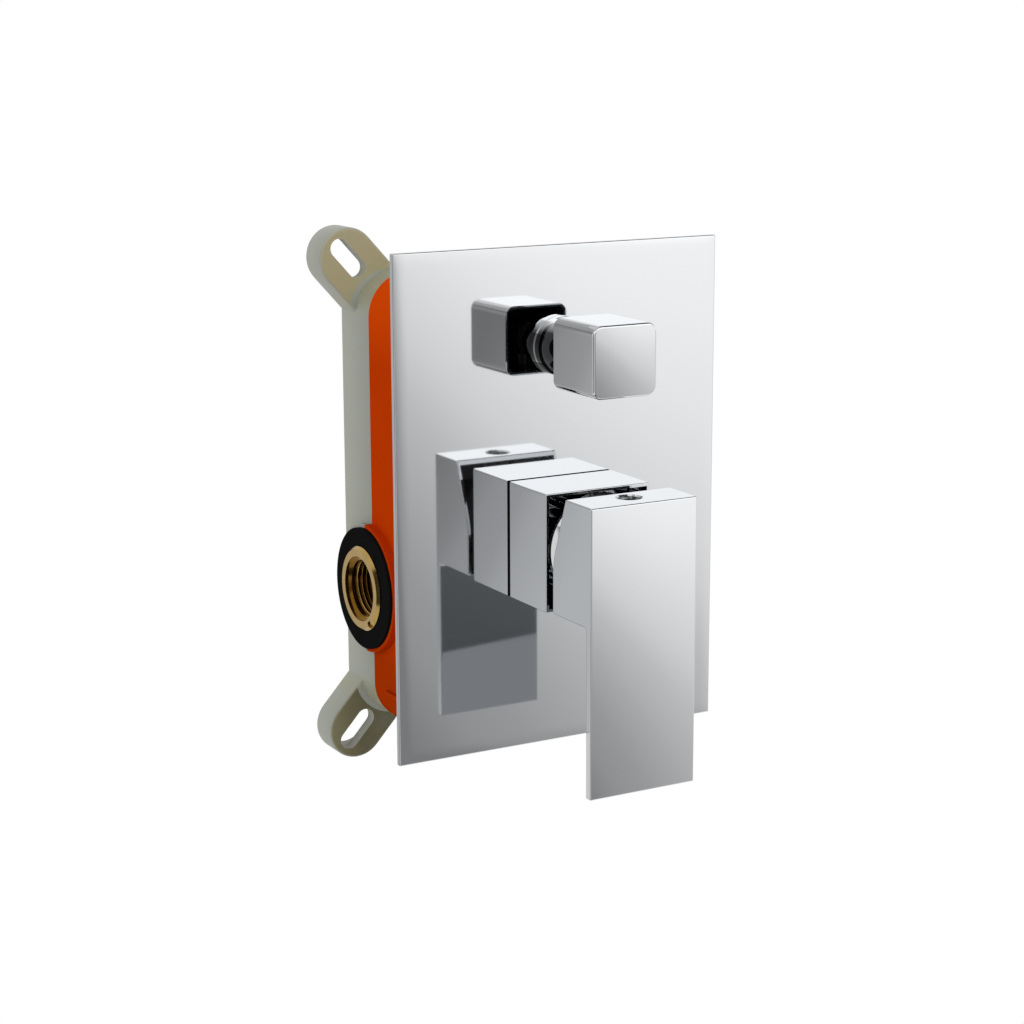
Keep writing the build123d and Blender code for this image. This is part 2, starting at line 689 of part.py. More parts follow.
with BuildPart() as sleeve_gasket:
    with BuildSketch(front(plate_front)):
        with Locations(lever_axis):
            Rectangle(sleeve_w - 2 * sleeve_gasket_set, sleeve_w - 2 * sleeve_gasket_set)
            Circle(chamber_r + sleeve_room, mode=Mode.SUBTRACT)
    extrude(amount=sleeve_gasket_t)
sleeve_gasket.part.label = "sleeve_gasket"
export_step(sleeve_gasket.part, "parts/sleeve_gasket.step")

with BuildPart() as sleeve_o_ring:
    with Locations(Plane((0, -neck_step - o_ring_r - seat_gap, lever_z), (1, 0, 0), (0, -1, 0))):
        Torus(neck_front_r + o_ring_r + seat_gap, o_ring_r)
sleeve_o_ring.part.label = "sleeve_o_ring"
export_step(sleeve_o_ring.part, "parts/sleeve_o_ring.step")

# Face plate and the gasket behind it
with BuildPart() as face_plate:
    with BuildSketch(front(plate_back)):
        with Locations((0, plate_rise)):
            Rectangle(plate_w, plate_h)
    extrude(amount=plate_t)
    fillet(face_plate.edges().filter_by(Axis.Y), plate_edge_r)
    fillet(face_plate.faces().sort_by(Axis.Y)[0].edges(), plate_edge_r)
    barrel(Plane.XZ, [lever_axis], plate_back, plate_front, plate_hole_r, Mode.SUBTRACT)
    barrel(Plane.XZ, [knob_axis], plate_back, plate_front, diverter_hole_r, Mode.SUBTRACT)
face_plate.part.label = "face_plate"
export_step(face_plate.part, "parts/face_plate.step")

with BuildPart() as plate_gasket:
    with BuildSketch(front(box_front)):
        RectangleRounded(box_w, box_h, box_corner_r)
        inner_w = box_w - 2 * plate_gasket_w
        inner_h = box_h - 2 * plate_gasket_w
        RectangleRounded(inner_w, inner_h, box_corner_r - plate_gasket_w, mode=Mode.SUBTRACT)
    extrude(amount=plate_gasket_t)
plate_gasket.part.label = "plate_gasket"
export_step(plate_gasket.part, "parts/plate_gasket.step")

# Lever handle: a tapered block with a thin blade hanging from its front
with BuildPart() as lever_handle:
    with BuildSketch(Plane.YZ) as lever_side:
        with BuildLine():
            Polyline(
                (-lever_front, lever_top),
                (lever_top_t - lever_front, lever_top),
                (-lever_back, lever_bend_z),
                (-lever_back, lever_block_z),
                (lever_blade_t - lever_front, lever_block_z),
                (lever_blade_t - lever_front, lever_bottom),
                (-lever_front, lever_bottom),
                close=True,
            )
        make_face()
        bend = lever_side.vertices().sort_by_distance((-lever_back, lever_bend_z, 0))[0]
        fillet(bend, lever_blend_r)
        crook = lever_side.vertices().sort_by_distance((lever_blade_t - lever_front, lever_block_z, 0))[0]
        fillet(crook, lever_crook_r)
    extrude(amount=lever_w / 2, both=True)
    fillet(lever_handle.edges(), lever_edge_r)
    barrel(Plane.XZ, [lever_axis], lever_back, lever_back + lever_pocket_depth, lever_pocket_r, Mode.SUBTRACT)
    with BuildSketch(front(lever_back)):
        with Locations(lever_axis):
            Rectangle(stem_w + 2 * seat_gap, stem_w + 2 * seat_gap)
    extrude(amount=lever_pocket_depth + lever_grip + seat_gap, mode=Mode.SUBTRACT)
    screw_spot = [(0, -lever_back - lever_screw_set)]
    barrel(Plane.XY, screw_spot, lever_z, lever_top, lever_screw_r + seat_gap, Mode.SUBTRACT)
    rim = lever_handle.edges().filter_by(GeomType.CIRCLE).sort_by(Axis.Z)[-1]
    chamfer(rim, lever_screw_chamfer)
lever_handle.part.label = "lever_handle"
export_step(lever_handle.part, "parts/lever_handle.step")

with BuildPart() as lever_set_screw:
    screw_top = lever_top - lever_screw_sink
    barrel(Plane.XY, screw_spot, lever_z + stem_w / 2, screw_top, lever_screw_r)
    hex_drive(Plane.XY.offset(screw_top), screw_spot, lever_hex_r, lever_hex_len)
lever_set_screw.part.label = "lever_set_screw"
export_step(lever_set_screw.part, "parts/lever_set_screw.step")

# Diverter headwork: seal, ceramic discs, brass body and the nut that holds it
diverter_ports = [(-diverter_port_step, knob_z), (diverter_port_step, knob_z)]
with BuildPart() as diverter_base_seal:
    barrel(Plane.XZ, [knob_axis], diverter_seat, diverter_disc_back, diverter_r - seat_gap)
    seal_hole_r = diverter_r - diverter_seal_w
    barrel(Plane.XZ, [knob_axis], diverter_seat, diverter_disc_back, seal_hole_r, Mode.SUBTRACT)
diverter_base_seal.part.label = "diverter_base_seal"
export_step(diverter_base_seal.part, "parts/diverter_base_seal.step")

with BuildPart() as diverter_fixed_disc:
    barrel(Plane.XZ, [knob_axis], diverter_disc_back, diverter_disc_front, diverter_disc_r)
    barrel(Plane.XZ, diverter_ports, diverter_disc_back, diverter_disc_front, diverter_port_r, Mode.SUBTRACT)
diverter_fixed_disc.part.label = "diverter_fixed_disc"
export_step(diverter_fixed_disc.part, "parts/diverter_fixed_disc.step")

with BuildPart() as diverter_moving_disc:
    barrel(Plane.XZ, [knob_axis], diverter_moving_back, diverter_moving_front, diverter_disc_r)
    with BuildSketch(front(diverter_moving_back)):
        with Locations(knob_axis):
            SlotOverall(2 * (diverter_port_step + diverter_port_r), 2 * diverter_port_r)
    extrude(amount=disc_channel_t, mode=Mode.SUBTRACT)
diverter_moving_disc.part.label = "diverter_moving_disc"
export_step(diverter_moving_disc.part, "parts/diverter_moving_disc.step")

spindle_room = spindle_shoulder + free_gap
with BuildPart() as diverter_housing:
    barrel(Plane.XZ, [knob_axis], diverter_disc_back, diverter_shoulder, diverter_r)
    barrel(Plane.XZ, [knob_axis], diverter_shoulder, diverter_flange_front, diverter_flange_r)
    barrel(Plane.XZ, [knob_axis], diverter_flange_front, diverter_tube_front, diverter_tube_r)
    barrel(Plane.XZ, [knob_axis], diverter_disc_back, spindle_room, diverter_cavity_r, Mode.SUBTRACT)
    barrel(Plane.XZ, [knob_axis], diverter_disc_back, diverter_tube_front, spindle_bore_r, Mode.SUBTRACT)
diverter_housing.part.label = "diverter_housing"
export_step(diverter_housing.part, "parts/diverter_housing.step")

nut_back = diverter_shoulder - diverter_nut_grip
nut_front = diverter_flange_front + diverter_nut_lip
with BuildPart() as diverter_nut:
    with BuildSketch(front(nut_back)):
        with Locations(knob_axis):
            RegularPolygon(diverter_nut_r, hex_sides, major_radius=False)
    extrude(amount=nut_front - nut_back)
    nut_bore_r = diverter_chamber_r + seat_gap
    barrel(Plane.XZ, [knob_axis], nut_back, diverter_flange_front, nut_bore_r, Mode.SUBTRACT)
    barrel(Plane.XZ, [knob_axis], nut_back, nut_front, diverter_tube_r + seat_gap, Mode.SUBTRACT)
diverter_nut.part.label = "diverter_nut"
export_step(diverter_nut.part, "parts/diverter_nut.step")

# Spindle that turns the diverter disc, with a flat for the screw of the knob
screw_depth = knob_back + knob_screw_set
with BuildPart() as diverter_spindle:
    barrel(Plane.XZ, [knob_axis], diverter_moving_front, spindle_shoulder, diverter_disc_r)
    barrel(Plane.XZ, [knob_axis], spindle_shoulder, spindle_front, spindle_r)
    with BuildSketch(front(knob_back + knob_hub_set)):
        with Locations((0, knob_z - spindle_r)):
            Rectangle(2 * spindle_r, 2 * spindle_flat)
    extrude(amount=spindle_front - knob_back, mode=Mode.SUBTRACT)
diverter_spindle.part.label = "diverter_spindle"
export_step(diverter_spindle.part, "parts/diverter_spindle.step")

# Chrome neck that screws on the headwork and holds the plate: a flange and a bell that narrows to the knob
neck_bore_r = diverter_tube_r + seat_gap
neck_end = plate_front + neck_len
neck_shoulder = plate_front + neck_flange_t
neck_waist_r = neck_r - neck_step_w
neck_nose_r = neck_waist_r - neck_taper
neck_swell_point = (-(neck_shoulder + neck_end) / 2, knob_z + (neck_waist_r + neck_nose_r) / 2 + neck_swell)
with BuildPart() as diverter_neck:
    with BuildSketch(Plane.YZ):
        with BuildLine():
            Polyline(
                (-neck_end, knob_z + neck_nose_r),
                (-neck_end, knob_z + neck_bore_r),
                (-plate_front, knob_z + neck_bore_r),
                (-plate_front, knob_z + neck_r),
                (-neck_shoulder, knob_z + neck_r),
                (-neck_shoulder, knob_z + neck_waist_r),
            )
            ThreePointArc(
                (-neck_shoulder, knob_z + neck_waist_r),
                neck_swell_point,
                (-neck_end, knob_z + neck_nose_r),
            )
        make_face()
    revolve(axis=Axis((0, 0, knob_z), (0, 1, 0)))
diverter_neck.part.label = "diverter_neck"
export_step(diverter_neck.part, "parts/diverter_neck.step")

# Square knob, open at the back, with a hub on the spindle and a screw from below
with BuildPart() as diverter_knob:
    with BuildSketch(front(knob_back)):
        with Locations(knob_axis):
            RectangleRounded(knob_w, knob_w, knob_corner_r)
    extrude(amount=knob_len)
    fillet(diverter_knob.faces().sort_by(Axis.Y)[0].edges(), knob_edge_r)
    with BuildSketch(front(knob_back)):
        with Locations(knob_axis):
            inner_w = knob_w - 2 * knob_wall
            RectangleRounded(inner_w, inner_w, knob_corner_r - knob_wall)
    extrude(amount=knob_len - knob_front_t, mode=Mode.SUBTRACT)
    barrel(Plane.XZ, [knob_axis], knob_back + knob_hub_set, knob_floor, knob_hub_r)
    lug_spot = [(0, -screw_depth)]
    knob_inner_z = knob_z - knob_w / 2 + knob_wall
    barrel(Plane.XY, lug_spot, knob_inner_z - knob_wall / 2, knob_z, knob_screw_r + knob_screw_wall)
    barrel(Plane.XZ, [knob_axis], knob_back, knob_floor, spindle_r + seat_gap, Mode.SUBTRACT)
    barrel(Plane.XY, lug_spot, knob_z - knob_w / 2, knob_z, knob_screw_r + seat_gap, Mode.SUBTRACT)
diverter_knob.part.label = "diverter_knob"
export_step(diverter_knob.part, "parts/diverter_knob.step")

with BuildPart() as knob_set_screw:
    screw_start = knob_z - knob_w / 2 + knob_screw_sink
    screw_end = knob_z - spindle_r + spindle_flat
    barrel(Plane.XY, lug_spot, screw_start, screw_end, knob_screw_r)
    hex_drive(Plane.XY.offset(screw_start), lug_spot, knob_hex_r, -knob_hex_len)
knob_set_screw.part.label = "knob_set_screw"
export_step(knob_set_screw.part, "parts/knob_set_screw.step")
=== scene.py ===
import json
import math

import bpy
from mathutils import Matrix, Vector


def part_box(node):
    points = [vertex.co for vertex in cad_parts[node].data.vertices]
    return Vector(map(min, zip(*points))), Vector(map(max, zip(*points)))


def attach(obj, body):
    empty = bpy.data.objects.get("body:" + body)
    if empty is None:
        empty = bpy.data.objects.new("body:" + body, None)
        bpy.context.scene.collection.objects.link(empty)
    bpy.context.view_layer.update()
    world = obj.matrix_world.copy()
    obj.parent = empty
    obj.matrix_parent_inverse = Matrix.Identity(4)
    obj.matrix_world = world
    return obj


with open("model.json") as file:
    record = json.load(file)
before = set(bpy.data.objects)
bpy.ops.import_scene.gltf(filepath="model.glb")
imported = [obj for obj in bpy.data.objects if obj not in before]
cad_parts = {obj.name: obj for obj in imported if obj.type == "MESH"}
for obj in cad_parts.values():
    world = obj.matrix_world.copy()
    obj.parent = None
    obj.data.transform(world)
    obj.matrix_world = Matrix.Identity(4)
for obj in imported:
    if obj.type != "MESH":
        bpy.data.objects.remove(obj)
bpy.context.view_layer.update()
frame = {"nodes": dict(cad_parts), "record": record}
nodes = frame["nodes"]
print("frame:", len(nodes), "pieces of the mixer")


class Wire:
    # One socket of a node tree, so that sums of masks and heights read as plain sums
    def __init__(self, tree, socket=None):
        self.tree = tree
        self.socket = socket

    def add(self, kind, settings=None, sockets=None, out=0):
        made = self.tree.nodes.new(kind)
        for key, value in (settings or {}).items():
            if key == "stops":
                layStops(made.color_ramp, value)
            else:
                setattr(made, key, value)
        for key, value in (sockets or {}).items():
            if isinstance(value, Wire):
                self.tree.links.new(value.socket, made.inputs[key])
            else:
                made.inputs[key].default_value = value
        return Wire(self.tree, made.outputs[out] if len(made.outputs) else None)

    def beside(self, name):  # another output of the same node
        return Wire(self.tree, self.socket.node.outputs[name])

    def combine(self, operation, first, second):
        return self.add("ShaderNodeMath", {"operation": operation}, {0: first, 1: second})

    def __add__(self, other):
        return self.combine("ADD", self, other)

    def __radd__(self, other):
        return self.combine("ADD", other, self)

    def __sub__(self, other):
        return self.combine("SUBTRACT", self, other)

    def __rsub__(self, other):
        return self.combine("SUBTRACT", other, self)

    def __mul__(self, other):
        return self.combine("MULTIPLY", self, other)

    def __rmul__(self, other):
        return self.combine("MULTIPLY", other, self)

    def above(self, low, high):  # 0 at low, rising to 1 at high, and flat beyond
        return self.add("ShaderNodeMapRange", sockets={"Value": self, "From Min": low, "From Max": high})

    def size(self):  # without its sign
        return self.combine("ABSOLUTE", self, 0.0)

    def parts(self):  # x of a vector, with its y and z beside it
        return self.add("ShaderNodeSeparateXYZ", sockets={"Vector": self}, out="X")

    def between(self, first, second):  # this value, 0 to 1, mixes two colours
        return self.add("ShaderNodeMix", {"data_type": "RGBA"}, {0: self, 6: first, 7: second}, out=2)


def layStops(ramp, stops):
    while len(ramp.elements) > 1:
        ramp.elements.remove(ramp.elements[-1])
    for count, (place, level) in enumerate(stops):
        stop = ramp.elements[0] if count == 0 else ramp.elements.new(place)
        stop.position = place
        stop.color = (level, level, level, 1)


def startFinish(name):
    made = bpy.data.materials.new(name)
    made.use_nodes = True
    made.node_tree.nodes.clear()
    wire = Wire(made.node_tree)
    return made, wire, wire.add("ShaderNodeTexCoord", out="Object")


def closeFinish(wire, sockets):
    shader = wire.add("ShaderNodeBsdfPrincipled", sockets=sockets, out="BSDF")
    wire.add("ShaderNodeOutputMaterial", sockets={"Surface": shader})


patchDetail, grainDetail = 4.0, 2.0  # of the noise in broad patches and in fine grain
insideFade = 0.0002  # metres over which the mask of an inside rises


def cloud(place, scale, detail=3.0):  # soft noise, 0 to 1
    return place.add("ShaderNodeTexNoise", sockets={
        "Vector": place, "Scale": scale, "Detail": detail,
    }, out="Fac")


def bumped(wire, height, normal=None):
    relief = {"Strength": 1.0, "Distance": 1.0, "Height": height}
    if normal:
        relief["Normal"] = normal
    return wire.add("ShaderNodeBump", sockets=relief)


# Chrome: a bright mirror with a breath of haze, and faces that are polished very slightly round
chromeLook = {
    "tint": (0.655, 0.667, 0.68, 1),
    "shine": 0.03,
    "haze": 0.03,
    "hazeScale": 45.0,
    "ripple": 2.0e-7,
    "rippleScale": 160.0,
    "leanPower": 8.0,  # how soon a face that turns away loses its lean
    "hollowShadeTint": (0.015, 0.015, 0.0155, 1),  # painted shade: the dark, not metallic inside of a hollow piece
    "hollowSheen": 0.12,
}


def withinHollow(across, hollow):
    # 1 on the inner faces of a hollow piece, which get painted shade: near its axis along y, and behind its
    # front wall
    dx = across - hollow["axis"][0]
    dz = across.beside("Z") - hollow["axis"][1]
    if hollow["square"]:
        corner = (dx.size() + dz.size()) * hollow["square"]
        reach = across.combine("MAXIMUM", across.combine("MAXIMUM", dx.size(), dz.size()), corner)
    else:
        reach = across.combine("SQRT", dx * dx + dz * dz, 0.0)
    near = 1.0 - reach.above(hollow["reach"], hollow["reach"] + insideFade)
    return near * across.beside("Y").above(hollow["front"], hollow["front"] + insideFade)


def crownLean(across, crown):
    # How far the normals of a slightly round face lean outwards from its crest, along x and z
    dx = across - crown["crest"][0]
    dz = across.beside("Z") - crown["crest"][1]
    return dx * crown["bend"][0], dz * crown["bend"][1]


def rollLean(across, roll):
    # How far the normals of a flat face lean outwards near its edges, and down where one corner sags
    leans = []
    places = (across, across.beside("Z"))
    for place, middle, half, lean in zip(places, roll["middle"], roll["half"], roll["leans"]):
        offset = place - middle
        low, high = ((offset * way).above(half - roll["reach"], half) for way in (-1.0, 1.0))
        leans.append(high * high * lean[1] - low * low * lean[0])
    aside = across.combine("MAXIMUM", across - roll["sagFrom"][0], 0.0)
    below = across.combine("MAXIMUM", roll["sagFrom"][1] - across.beside("Z"), 0.0)
    return leans[0], leans[1] - aside * below * roll["sag"]


def leaningNormal(straight, sides, power):
    # Normals that lean along x and z on the faces that look one way along y; other faces keep theirs
    facing = straight.parts().beside("Y")
    leanX, leanZ = 0.0, 0.0
    for way, sideX, sideZ in sides:
        share = straight.combine("POWER", straight.combine("MAXIMUM", facing * way, 0.0), power)
        leanX = share * sideX + leanX
        leanZ = share * sideZ + leanZ
    lean = straight.add("ShaderNodeCombineXYZ", sockets={"X": leanX, "Z": leanZ})
    leaning = straight.add("ShaderNodeVectorMath", {"operation": "ADD"}, {0: straight, 1: lean})
    return straight.add("ShaderNodeVectorTransform", {
        "vector_type": "NORMAL", "convert_from": "OBJECT", "convert_to": "WORLD",
    }, {"Vector": leaning})


def chromeFinish(name, crown=None, roll=None, back=None, edge=None, hollow=None, crest=None, **changes):
    look = {**chromeLook, **changes}
    made, wire, place = startFinish(name)
    straight = wire.add("ShaderNodeTexCoord", out="Normal")
    across, normal = place.parts(), straight.parts()
    tint, metal = look["tint"], 1.0
    # Painted highlights: a bright top, and a light ring at the foot
    if crest:
        tint = across.beside("Z").above(*crest["rise"]).between(tint, crest["tint"])
        tint = across.beside("Y").above(*crest["foot"]).between(tint, crest["footHighlightTint"])
    # Painted highlight and shade on round edges: a tone by how far their normals rise
    if edge:
        tone = wire.add("ShaderNodeValToRGB", {"stops": edge["tones"]}, {"Fac": normal.beside("Z")})
        tint = normal.size().above(*edge["aside"]).between(tint, tone)
    sides = []
    if crown:
        sides.append((-1.0, *crownLean(across, crown)))
    if roll:
        sides.append((-1.0, *rollLean(across, roll)))
    # Painted shade: faces that turn back along y, away from the front, take a darker tint
    if back:
        behind = normal.beside("Y").above(*back["facing"])
        if "below" in back:
            behind = behind * (1.0 - across.beside("Z").above(*back["below"]))
        tint = behind.between(tint, back["tint"])
        if "draft" in back:
            sides.append((1.0, 0.0, across * back["twist"] + back["draft"]))
    # Painted shade: the inner faces of a hollow piece are dark and not metallic
    if hollow:
        inside = withinHollow(across, hollow)
        tint = inside.between(tint, look["hollowShadeTint"])
        metal = 1.0 - inside
    ripple = cloud(place, look["rippleScale"]) * look["ripple"]
    leaning = leaningNormal(straight, sides, look["leanPower"]) if sides else None
    closeFinish(wire, {
        "Base Color": tint,
        "Metallic": metal,
        "Roughness": cloud(place, look["hazeScale"]) * look["haze"] + look["shine"],
        "Specular IOR Level": look["hollowSheen"],
        "Normal": bumped(wire, ripple, leaning),
    })
    return made


# Moulded plastics and rubber: two close colours, a fine skin and a soft gloss
mouldedLooks = {
    "whiteNylon": {
        "pale": (0.43, 0.445, 0.39, 1), "deep": (0.37, 0.385, 0.33, 1), "patch": 55.0,
        "gloss": 0.45, "skin": 2.6e-5, "skinScale": 900.0, "glow": 0.12, "sheen": 0.25, "agedAndShaded": True,
    },
    "orangePlastic": {
        "pale": (0.59, 0.05, 0.0008, 1), "deep": (0.5, 0.037, 0.0006, 1), "patch": 40.0,
        "gloss": 0.42, "skin": 1.6e-5, "skinScale": 1100.0, "glow": 0.0, "sheen": 0.0,
        # foot: painted shadow below the lower seal; head: painted light at the top
        "foot": ((-0.058, -0.046), (0.41, 0.036, 0.0009, 1)), "head": ((0.05, 0.08), (0.74, 0.072, 0.002, 1)),
    },
    "blackRubber": {
        "pale": (0.011, 0.0108, 0.011, 1), "deep": (0.006, 0.006, 0.0062, 1), "patch": 120.0,
        "gloss": 0.6, "skin": 2.2e-5, "skinScale": 1600.0, "glow": 0.0, "sheen": 0.0,
    },
    "cartridgeNylon": {
        "pale": (0.78, 0.78, 0.74, 1), "deep": (0.68, 0.68, 0.63, 1), "patch": 90.0,
        "gloss": 0.45, "skin": 1.5e-5, "skinScale": 1400.0, "glow": 0.0, "sheen": 0.4,
    },
    "whiteCeramic": {
        "pale": (0.86, 0.85, 0.81, 1), "deep": (0.8, 0.79, 0.74, 1), "patch": 150.0,
        "gloss": 0.18, "skin": 2.0e-6, "skinScale": 2400.0, "glow": 0.0, "sheen": 0.5,
    },
}

moulding = {"glossSpread": 0.12, "glowReach": 0.002}

# The fronts of the ears have yellowed, with painted shade: the lower ones are painted darker, and darkest
# close to the box, and the upper ones lighter
agedAndShadedLook = {
    "upper": (0.38, 0.355, 0.205, 1), "lower": (0.235, 0.225, 0.12, 1), "inner": (0.125, 0.115, 0.055, 1),
    "inwards": (0.055, 0.068), "heights": (-0.06, 0.06), "facing": (0.6, 1.0),
    "least": 0.7, "patchShare": 0.5,
    "straight": (0.042, 0.067), "corner": 0.0158, "rim": 0.0003,
    "wall": 0.016, "wallReach": 0.004, "wallShare": 0.8,
    "shellShadeSpan": (-0.0225, -0.003), "shellShadeTint": (0.3, 0.312, 0.268, 1),  # painted shade, darker towards the front shell
}


def agedAndShadedEars(wire, place, patches, tint):
    look = agedAndShadedLook
    across = place.parts()
    height = across.beside("Z")
    normal = wire.add("ShaderNodeTexCoord", out="Normal").parts()
    facing = (normal.beside("Y") * -1.0).above(*look["facing"])
    # Painted shade: the nylon darkens towards the front shell
    tint = across.beside("Y").above(*look["shellShadeSpan"]).between(look["shellShadeTint"], tint)
    dx = wire.combine("MAXIMUM", across.size() - look["straight"][0], 0.0)
    dz = wire.combine("MAXIMUM", height.size() - look["straight"][1], 0.0)
    reach = wire.combine("SQRT", dx * dx + dz * dz, 0.0)
    outside = reach.above(look["corner"], look["corner"] + look["rim"])
    # Painted shade: the lower ear fronts darker, darkest inwards close to the box; the upper ones lighter
    low = across.size().above(*look["inwards"]).between(look["inner"], look["lower"])
    shade = height.above(*look["heights"]).between(low, look["upper"])
    fronts = (facing * outside * (patches * look["patchShare"] + look["least"])).between(tint, shade)
    # The round corners of the box between the ears and the front shell take the upper tint too: yellowing,
    # with painted shade in the crease
    near = 1.0 - reach.above(look["wall"], look["wall"] + look["wallReach"])
    corner = dx * dz * (2.0 / look["wall"] ** 2) * near
    return (corner * (1.0 - facing) * look["wallShare"]).between(fronts, look["upper"])


def mouldedFinish(name):
    look = mouldedLooks[name]
    made, wire, place = startFinish(name)
    patches = cloud(place, look["patch"], patchDetail)
    skin = cloud(place, look["skinScale"], grainDetail) * look["skin"]
    tint = patches.between(look["deep"], look["pale"])
    if "agedAndShaded" in look:
        tint = agedAndShadedEars(wire, place, patches, tint)
    # Painted shadow at the foot, below the lower seal, and painted light at the head
    if "foot" in look:
        height = place.parts().beside("Z")
        tint = height.above(*look["foot"][0]).between(look["foot"][1], tint)
        tint = height.above(*look["head"][0]).between(tint, look["head"][1])
    closeFinish(wire, {
        "Base Color": tint,
        "Roughness": patches * moulding["glossSpread"] + (look["gloss"] - moulding["glossSpread"] / 2),
        "Specular IOR Level": look["sheen"],
        "Subsurface Weight": look["glow"],
        "Subsurface Scale": moulding["glowReach"],
        "Normal": bumped(wire, skin),
    })
    return made


# Bare metals: warm or grey, with the fine rings that a lathe leaves
metalLooks = {
    "turnedBrass": {
        "pale": (0.47, 0.32, 0.105, 1), "deep": (0.32, 0.205, 0.057, 1), "patch": 260.0,
        "shine": 0.1, "cut": 2.0e-6, "cutScale": 2600.0, "bore": (0.15, 0.07, 0.01, 1),
    },
    "screwSteel": {
        "pale": (0.56, 0.57, 0.58, 1), "deep": (0.4, 0.41, 0.42, 1), "patch": 380.0,
        "shine": 0.26, "cut": 2.5e-6, "cutScale": 3000.0,
    },
    "blackSteel": {
        "pale": (0.1, 0.1, 0.105, 1), "deep": (0.05, 0.05, 0.053, 1), "patch": 500.0,
        "shine": 0.2, "cut": 1.5e-6, "cutScale": 3000.0,
    },
}

shineSpread = 0.16
portDepths = {
    "bore": 0.0109, "middle": -0.0225, "inletHeight": -0.031,
    "inletEnd": 0.0575, "outletEnd": 0.082, "fade": 0.005,
}


def withinPorts(place):
    # 1 deep in the bores of the four ports, where the brass is painted dark brown as shade
    size = portDepths
    across = place.parts()
    height = across.beside("Z")
    dy = across.beside("Y") - size["middle"]
    dz = height - size["inletHeight"]
    deep = []
    for aside, along, end in ((dz, across, size["inletEnd"]), (across, height, size["outletEnd"])):
        reach = across.combine("SQRT", dy * dy + aside * aside, 0.0)
        near = 1.0 - reach.above(size["bore"], size["bore"] + insideFade)
        deep.append(near * (1.0 - along.size().above(end - size["fade"], end)))
    return across.combine("MAXIMUM", deep[0], deep[1])


def metalFinish(name):
    look = metalLooks[name]
    made, wire, place = startFinish(name)
    patches = cloud(place, look["patch"], patchDetail)
    cuts = cloud(place, look["cutScale"], grainDetail) * look["cut"]
    tint = patches.between(look["deep"], look["pale"])
    # Painted shade deep in the port bores
    if "bore" in look:
        tint = withinPorts(place).between(tint, look["bore"])
    closeFinish(wire, {
        "Base Color": tint,
        "Metallic": 1.0,
        "Roughness": patches * shineSpread + look["shine"],
        "Normal": bumped(wire, cuts),
    })
    return made


# What is special on the chrome pieces: places (x, z) in metres and bends in 1/m.
# A hollow that isn't round has a number at "square": 0.5 for sharp corners, more for cut ones
knobLow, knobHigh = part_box("diverter_knob")
knobCrown = {"bend": (4.2, 8.6), "crest": (0.0, knobHigh.z - 0.001)}
knobHollow = {"axis": (0, (knobLow.z + knobHigh.z) / 2), "reach": 0.0119, "square": 0.53, "front": -0.1045}
knobEdge = {
    "aside": (0.1, 0.3),
    "tones": [  # painted highlight and shade on the round upper edges, by how far their normals rise
        (0.0, 0.667), (0.08, 0.77), (0.17, 0.95), (0.25, 1.0), (0.33, 1.0), (0.42, 0.65), (0.5, 0.42),
        (0.67, 0.41), (0.78, 0.5), (0.92, 0.42), (1.0, 0.5),
    ],
}

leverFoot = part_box("lever_handle")[0].z
leverAxis = (0, -0.009)
leverCrown = {"bend": (1.3, 1.7), "crest": (-0.008, leverFoot + 0.036)}
leverHollow = {"axis": leverAxis, "reach": 0.0197, "square": 0.5, "front": -0.1041}
leverBack = {  # a little drafted and twisted, and painted darker below the head, as shade
    "facing": (0.3, 0.6), "below": (-0.031, -0.029), "tint": (0.32, 0.335, 0.35, 1),
    "draft": -0.047, "twist": -0.4,
}
sleeveHollow = {"axis": leverAxis, "reach": 0.0199, "square": 0, "front": -0.12}

plateLow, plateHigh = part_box("face_plate")
plateMiddle, plateHalf = (plateLow + plateHigh) / 2, (plateHigh - plateLow) / 2
plateRoll = {
    "middle": (plateMiddle.x, plateMiddle.z), "half": (plateHalf.x, plateHalf.z), "reach": 0.006,
    "leans": ((0.07, 0.05), (0.07, 0.035)),  # left and right, foot and top
    "sagFrom": (0.01, -0.02), "sag": 20.0,
}
plateBack = {"facing": (-0.7, -0.3), "tint": (0.4, 0.407, 0.415, 1)}  # its sides and back are painted darker, as shade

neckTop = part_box("diverter_neck")[1].z
# The neck's chrome is painted nearly black as shade, with a painted highlight along its top and a painted
# light ring at its foot
neckShadeTint = (0.045, 0.046, 0.048, 1)
neckPaintedHighlights = {
    "rise": (neckTop - 0.005, neckTop - 0.001), "tint": (0.8, 0.81, 0.82, 1),
    "foot": (plateLow.y - 0.0007, plateLow.y - 0.0005), "footHighlightTint": (0.5, 0.51, 0.52, 1),
}

chromeParts = {
    "chrome": {},
    "knobChrome": {"crown": knobCrown, "edge": knobEdge, "hollow": knobHollow},
    "leverChrome": {"crown": leverCrown, "back": leverBack, "hollow": leverHollow},
    "plateChrome": {"roll": plateRoll, "back": plateBack},
    "sleeveChrome": {"hollow": sleeveHollow},
    "neckChrome": {"crest": neckPaintedHighlights, "tint": neckShadeTint, "ripple": 2.0e-5},
}
finishes = {name: mouldedFinish(name) for name in mouldedLooks}
finishes.update({name: metalFinish(name) for name in metalLooks})
finishes.update({name: chromeFinish(name, **parts) for name, parts in chromeParts.items()})

